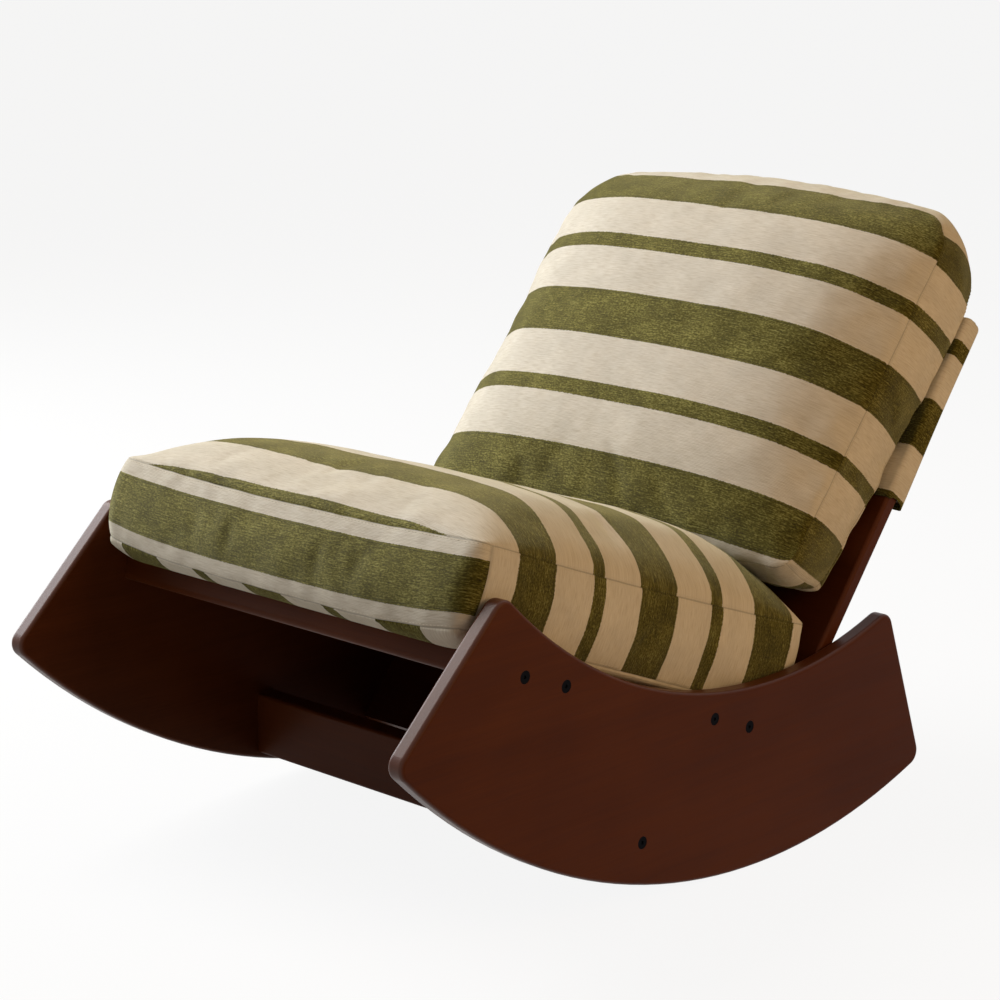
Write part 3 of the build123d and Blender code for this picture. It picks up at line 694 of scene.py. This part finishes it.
def sew(cushion, material):
    """Rows of short stitches beside the upper and lower seams, in thread of the cloth's own colours."""
    depsgraph = bpy.context.evaluated_depsgraph_get()
    smooth = cushion.piece.evaluated_get(depsgraph).data
    count = len(cushion.piece.data.vertices)
    places = [v.co.copy() for v in smooth.vertices[:count]]
    normals = [v.normal.copy() for v in smooth.vertices[:count]]
    grid = cushion.stitch_rows[0]
    panel_row = [*grid[0, :], *grid[1:, -1], *grid[-1, -2::-1], *grid[-2:0:-1, 0]]
    points, faces, coordinates = [], [], []
    for row in (panel_row, *cushion.stitch_rows[1:]):
        run = 0.0
        for a, b in zip(row, [*row[1:], row[0]]):
            first, last = places[a], places[b]
            span = (last - first).length
            while run < span:
                centre = first.lerp(last, run / span)
                up = normals[a].lerp(normals[b], run / span).normalized()
                ahead = (last - first).normalized()
                side = up.cross(ahead)
                step = cushion.cloth[b] - cushion.cloth[a]
                one_cut = abs(step).max() < CLOTH_JUMP
                cloth = cushion.cloth[a] + step * (run / span) * one_cut
                base = len(points)
                for s, w, h in STITCH_RIM + STITCH_RIDGE:
                    place = centre + ahead * (s * STITCH_LENGTH / 2) + side * (w * STITCH_WIDTH / 2)
                    points.append(place + up * (h * STITCH_HEIGHT))
                for face in STITCH_FACES:
                    faces.append([base + v for v in face])
                    coordinates += [cloth] * len(face)
                run += STITCH_LENGTH + STITCH_GAP
            run -= span
    piece = cloth_piece(cushion.name + "_stitching", points, faces, coordinates, material, False)
    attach(piece, cushion.name)


def build_sleeve(cushion, material):
    """Loops of cloth round the board, from the hem up, folded over the board's top to a seam."""
    thickness = SLEEVE_FRONT - SLEEVE_REAR

    # One loop, as shares of the half width and of the thickness
    corner_x, corner_z = SLEEVE_ROLL / SLEEVE_HALF, SLEEVE_ROLL / thickness
    turn = np.radians(ROLL_ANGLES)
    half_loop = [(x, 1) for x in np.linspace(-1 + corner_x, 1 - corner_x, SLEEVE_COLUMNS)]
    half_loop += [(1 - corner_x * (1 - sin(a)), 1 - corner_z * (1 - cos(a))) for a in turn]
    half_loop += [(1, d) for d in np.linspace(1 - corner_z, corner_z, 5)]
    half_loop += [(1 - corner_x * (1 - cos(a)), corner_z * (1 - sin(a))) for a in turn]
    loop = half_loop + [(-x, 1 - d) for x, d in half_loop]
    across, depth = np.array(loop).T
    on_side = abs(across) > 0.999
    steps = np.hypot(np.diff(across) * SLEEVE_HALF, np.diff(depth) * thickness)
    girth = np.concatenate([[0], np.cumsum(steps)])

    # Heights of the loops, and how far each is drawn in
    straight = SLEEVE_TOP - SLEEVE_ROUND - SLEEVE_HEM
    levels = [(SLEEVE_HEM + straight * s, 0.0) for s in (0, 0.012, *np.linspace(0.05, 1, SLEEVE_ROWS))]
    for angle in np.radians(ROUND_ANGLES):
        levels.append((SLEEVE_TOP - SLEEVE_ROUND * (1 - sin(angle)), SLEEVE_ROUND * (1 - cos(angle))))
    levels += [(SLEEVE_TOP + 0.0005, thickness * 0.36), (SLEEVE_TOP + 0.001, thickness / 2 - 0.0004)]

    points, cloth = [], []
    run = SLEEVE_HEM
    for number, (y, inward) in enumerate(levels):
        if number:
            run += np.hypot(y - levels[number - 1][0], inward - levels[number - 1][1])
        low = 1 - (y - SLEEVE_HEM) / (SLEEVE_TOP - SLEEVE_HEM)
        folds = np.array([noise.noise(Vector((a * 7, d * 3, low * 1.6))) for a, d in loop])
        fold_depth = SLEEVE_FOLDS[0] + SLEEVE_FOLDS[1] * low
        rear = SLEEVE_REAR - SLEEVE_FLARE * low**2 - fold_depth * (1 + folds) * (depth < 0.5)
        z = rear + inward + (SLEEVE_FRONT - rear - 2 * inward) * depth
        x = across * (SLEEVE_HALF - 0.4 * min(inward, SLEEVE_ROUND))
        x = x + np.sign(across) * on_side * SLEEVE_WAVER * folds
        arch = SLEEVE_ARCH * max(0, low) ** 3 * on_side * np.sin(np.pi * depth)
        points += np.stack([x, y + arch, z], axis=1).tolist()
        cloth += [(g, run + a - SLEEVE_STRIPE) for g, a in zip(girth, arch)]
    count = len(loop)
    faces, coordinates = [], []
    for k in range(len(levels) - 1):
        for m in range(count):
            n = (m + 1) % count
            corners = [k * count + m, k * count + n, (k + 1) * count + n, (k + 1) * count + m]
            faces.append(corners)
            for corner in corners:
                u, v = cloth[corner]
                wraps = n == 0 and corner % count == 0
                coordinates.append((u + (girth[-1] + steps[-1] if wraps else 0), v))
    piece = cloth_piece("back_sleeve_cloth", points, faces, coordinates, material, True)
    piece.data.transform(cushion.matrix)
    thicken = piece.modifiers.new("cloth", "SOLIDIFY")
    thicken.thickness = SLEEVE_CLOTH
    thicken.offset = -1
    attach(piece, cushion.name)
    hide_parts("back_sleeve")


fabric = make_fabric()
seat = Cushion("seat_cushion", -1, "seat_cushion_base_panel", SEAT_FORM)
back = Cushion("back_cushion", 1, "back_cushion_rear_panel", BACK_FORM)
for cushion in (seat, back):
    build_cushion(cushion, fabric)
inflate((seat, back))
for seed, cushion in ((20, seat), (50, back)):
    settle(cushion, seed)
finish_cushion(seat, "seat_cushion_cover", "seat_cushion_base_panel", "seat_cushion_foam_core")
finish_cushion(back, "back_cushion_cover", "back_cushion_rear_panel", "back_cushion_foam_core")
for cushion in (seat, back):
    sew(cushion, fabric)
build_sleeve(back, fabric)

# Finishes, by the longest start of a node's name
walnut_along = make_wood("walnut_lengthways", LENGTHWAYS, WALNUT, 0.46, 0.42)
walnut_across = make_wood("walnut_crossways", CROSSWAYS, WALNUT, 0.48, 0.04)
rail_wood = make_wood("rail_walnut", LENGTHWAYS, WALNUT, 0.55, 0.0)
slat_wood = make_wood("slat_walnut", CROSSWAYS, WALNUT, 0.55, 0.0)
beech = make_wood("dowel_beech", CROSSWAYS, BEECH, 0.6, 0.0)
black_oxide = make_plain("black_oxide", (0.005, 0.006, 0.009), 0.75, 0.0, 0.03)
brass = make_plain("insert_brass", (0.72, 0.52, 0.22), 0.35, 1.0)
zinc = make_plain("screw_zinc", (0.62, 0.62, 0.60), 0.38, 1.0)
foam = make_plain("foam", (0.82, 0.78, 0.66), 0.9, 0.0)
finishes = {
    "side_panel": walnut_along,
    "front_seat_rail": walnut_across,
    "back_support_board": walnut_across,
    "back_panel": walnut_across,
    "back_panel_bolts": black_oxide,
    "back_panel_inserts": brass,
    "lower_stretcher": walnut_across,
    "side_seat_rail": rail_wood,
    "seat_slat": slat_wood,
    "seat_bolts": black_oxide,
    "seat_bolt_inserts": brass,
    "stretcher_bolts": black_oxide,
    "stretcher_bolt_inserts": brass,
    "front_rail_dowels": beech,
    "rear_rail_dowels": beech,
    "stretcher_dowels": beech,
    "support_board_dowels": beech,
    "slat_screws": zinc,
    "seat_cushion": foam,
    "back_cushion": foam,
    "back_sleeve": fabric,
}
for name, node in frame["nodes"].items():
    best = max((key for key in finishes if name.startswith(key)), key=len)
    node.data.materials.clear()
    node.data.materials.append(finishes[best])


# Stage, lamps and camera
def make_floor():
    """A floor, white to the camera and in reflections, that keeps a shadow and throws little light back."""
    shader = Shader(bpy.data.materials.new("studio_floor"))
    seen = shader.seen()
    diffuse = shader.add("BsdfDiffuse", {"Color": shader.mix(seen, FLOOR_BOUNCE, FLOOR_SEEN)})
    glow = shader.add("Emission", {"Color": WHITE, "Strength": 1.0})
    glowing = shader.math("MULTIPLY", seen, FLOOR_GLOW)
    material = shader.end(shader.add("MixShader", {0: glowing, 1: diffuse, 2: glow}))
    mesh = bpy.data.meshes.new("floor")
    corners = [(x * FLOOR_REACH, y * FLOOR_REACH, 0) for x, y in ((-1, -1), (1, -1), (1, 1), (-1, 1))]
    mesh.from_pydata(corners, [], [(0, 1, 2, 3)])
    mesh.materials.append(material)
    floor = bpy.data.objects.new("floor", mesh)
    scene.collection.objects.link(floor)


def make_world():
    """Even light all round, and white to the camera and in reflections."""
    shader = Shader(bpy.data.worlds.new("studio"), "World")
    seen = shader.seen()
    colour = shader.mix(seen, WORLD_COLOUR, WHITE)
    strength = shader.step(seen, 0.0, 1.0, WORLD_STRENGTH, 1.0)
    scene.world = shader.end(shader.add("Background", {"Color": colour, "Strength": strength}))


def add_lamp(name, place, aim, size, power, colour):
    """A square soft box."""
    data = bpy.data.lights.new(name, "AREA")
    data.size = size
    data.energy = power
    data.color = colour
    lamp = bpy.data.objects.new(name, data)
    lamp.location = place
    lamp.rotation_euler = (Vector(aim) - Vector(place)).to_track_quat("-Z", "Y").to_euler()
    scene.collection.objects.link(lamp)


def make_camera():
    """The photograph's view."""
    azimuth, elevation = radians(CAMERA_AZIMUTH), radians(CAMERA_ELEVATION)
    away = Vector((sin(azimuth) * cos(elevation), -cos(azimuth) * cos(elevation), sin(elevation)))
    data = bpy.data.cameras.new("photo_camera")
    data.sensor_width = SENSOR_WIDTH
    data.lens = SENSOR_WIDTH * CAMERA_FOCAL / PHOTO_SIZE
    camera = bpy.data.objects.new("photo_camera", data)
    turn = away.to_track_quat("Z", "Y").to_matrix() @ Matrix.Rotation(radians(CAMERA_ROLL), 3, "Z")
    camera.matrix_world = Matrix.Translation(CAMERA_TARGET + away * CAMERA_DISTANCE) @ turn.to_4x4()
    scene.collection.objects.link(camera)
    scene.camera = camera


make_floor()
make_world()
make_camera()
add_lamp("window", (-3.5, -0.9, 1.7), (0, 0, 0.4), 2.2, 118, (0.88, 0.94, 1.0))
add_lamp("ceiling", (-2.1, -0.7, 3.0), (0, 0, 0.3), 2.0, 92, (1.0, 0.97, 0.93))
add_lamp("room", (3.1, 0.5, 1.6), (0, 0, 0.4), 2.0, 40, (1.0, 0.62, 0.28))
scene.view_settings.view_transform = "Standard"
